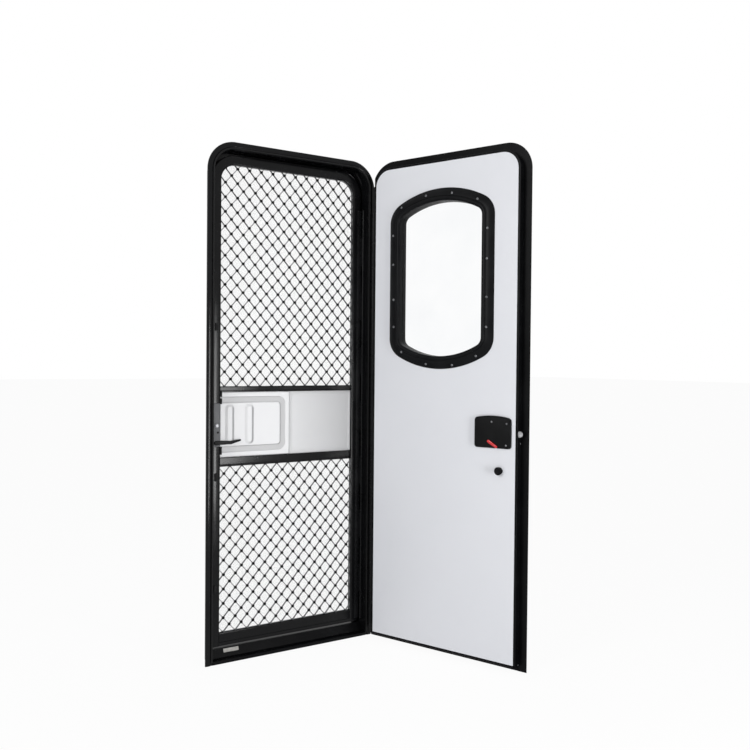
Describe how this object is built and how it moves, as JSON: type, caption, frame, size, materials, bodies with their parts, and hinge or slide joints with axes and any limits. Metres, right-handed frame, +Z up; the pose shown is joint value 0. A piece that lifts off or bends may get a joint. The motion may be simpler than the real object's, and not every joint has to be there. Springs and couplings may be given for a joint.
{
  "type": "caravan entry door",
  "caption": "Caravan entry door: bent black wall frame with a hinged insulated main door, window and latch, and a diamond-grille security screen with a sliding hatch.",
  "frame": {"origin": "middle of the back face of the sill's outer flange, where it laps the wall below the doorway", "axes": "+Z up, +X towards the hinge side seen from outdoors, +Y into the caravan; outdoors is -Y"},
  "size_m": [0.8984, 0.681, 1.79],
  "materials": {
    "black_powder_coat": "satin powder coat",
    "white_skin": "gloss",
    "white_moulding": "moulded",
    "foam": "foam",
    "black_plastic": "moulded",
    "seal_rubber": "matt",
    "steel": "brushed",
    "insect_mesh": "woven",
    "window_acrylic": "clear",
    "red_plastic": "moulded"
  },
  "bodies": {
    "frame": {"frame_jamb_latch": "black_powder_coat", "frame_jamb_hinge": "black_powder_coat", "frame_head": "black_powder_coat", "frame_sill": "black_powder_coat", "frame_seal": "seal_rubber", "strike_plate": "steel", "door_hinge_fixed_leaf": "black_powder_coat", "door_hinge_pin": "steel", "screen_hinge_fixed_leaf": "black_powder_coat", "screen_hinge_pin": "steel"},
    "screen_door": {"screen_stile_latch": "black_powder_coat", "screen_stile_hinge": "black_powder_coat", "screen_head": "black_powder_coat", "screen_bottom_rail": "black_powder_coat", "screen_upper_rail": "black_powder_coat", "screen_lower_rail": "black_powder_coat", "screen_hinge_leaf": "black_powder_coat", "grille_upper": "black_powder_coat", "grille_lower": "black_powder_coat", "flyscreen_upper": "insect_mesh", "flyscreen_lower": "insect_mesh", "fixed_panel": "white_moulding", "screen_lock_body": "black_plastic", "screen_buffers": "seal_rubber"},
    "hatch": {"sliding_hatch": "white_moulding"},
    "screen_lever": {"screen_lever": "black_plastic"},
    "main_door": {"door_edge_latch": "black_powder_coat", "door_edge_hinge": "black_powder_coat", "door_edge_head": "black_powder_coat", "door_edge_bottom": "black_powder_coat", "door_core": "foam", "door_inner_skin": "white_skin", "door_outer_skin": "white_skin", "door_hinge_leaf": "black_powder_coat", "window_inner_ring": "black_plastic", "window_outer_ring": "black_plastic", "window_pane": "window_acrylic", "latch_box": "black_plastic", "pull_knob": "black_plastic", "outer_handle_housing": "black_plastic", "outer_handle_paddle": "steel", "lock_cylinder": "steel"},
    "latch_lever": {"latch_lever": "red_plastic"},
    "latch_bolt": {"latch_bolt": "steel"}
  },
  "joints": [
    {"name": "door_hinge", "type": "hinge", "parent": "frame", "child": "main_door", "pos_m": [0.323, -0.011, 0], "axis": [0, 0, 1], "range_deg": [-112, 63]},
    {"name": "screen_hinge", "type": "hinge", "parent": "frame", "child": "screen_door", "pos_m": [0.3, 0.0256, 0], "axis": [0, 0, 1], "range_deg": [0, 82]},
    {"name": "hatch_slide", "type": "slide", "parent": "screen_door", "child": "hatch", "axis": [1, 0, 0], "range_m": [0, 0.255]},
    {"name": "screen_lever_turn", "type": "hinge", "parent": "screen_door", "child": "screen_lever", "pos_m": [-0.2805, 0.03675, 0.7515], "axis": [0, 1, 0], "range_deg": [-30, 0], "stiffness_Nm_per_rad": 0.3},
    {"name": "latch_lever_turn", "type": "hinge", "parent": "main_door", "child": "latch_lever", "pos_m": [0.47818, -0.50159, 0.7745], "axis": [-0.9272, -0.3746, 0], "range_deg": [0, 41]},
    {"name": "bolt_slide", "type": "slide", "parent": "main_door", "child": "latch_bolt", "axis": [0.3746, -0.9272, 0], "range_m": [-0.014, 0], "stiffness_N_per_m": 150}
  ],
  "couplings": [
    {"joint": "latch_lever_turn", "follows": "bolt_slide", "rad_per_m": -50}
  ]
}
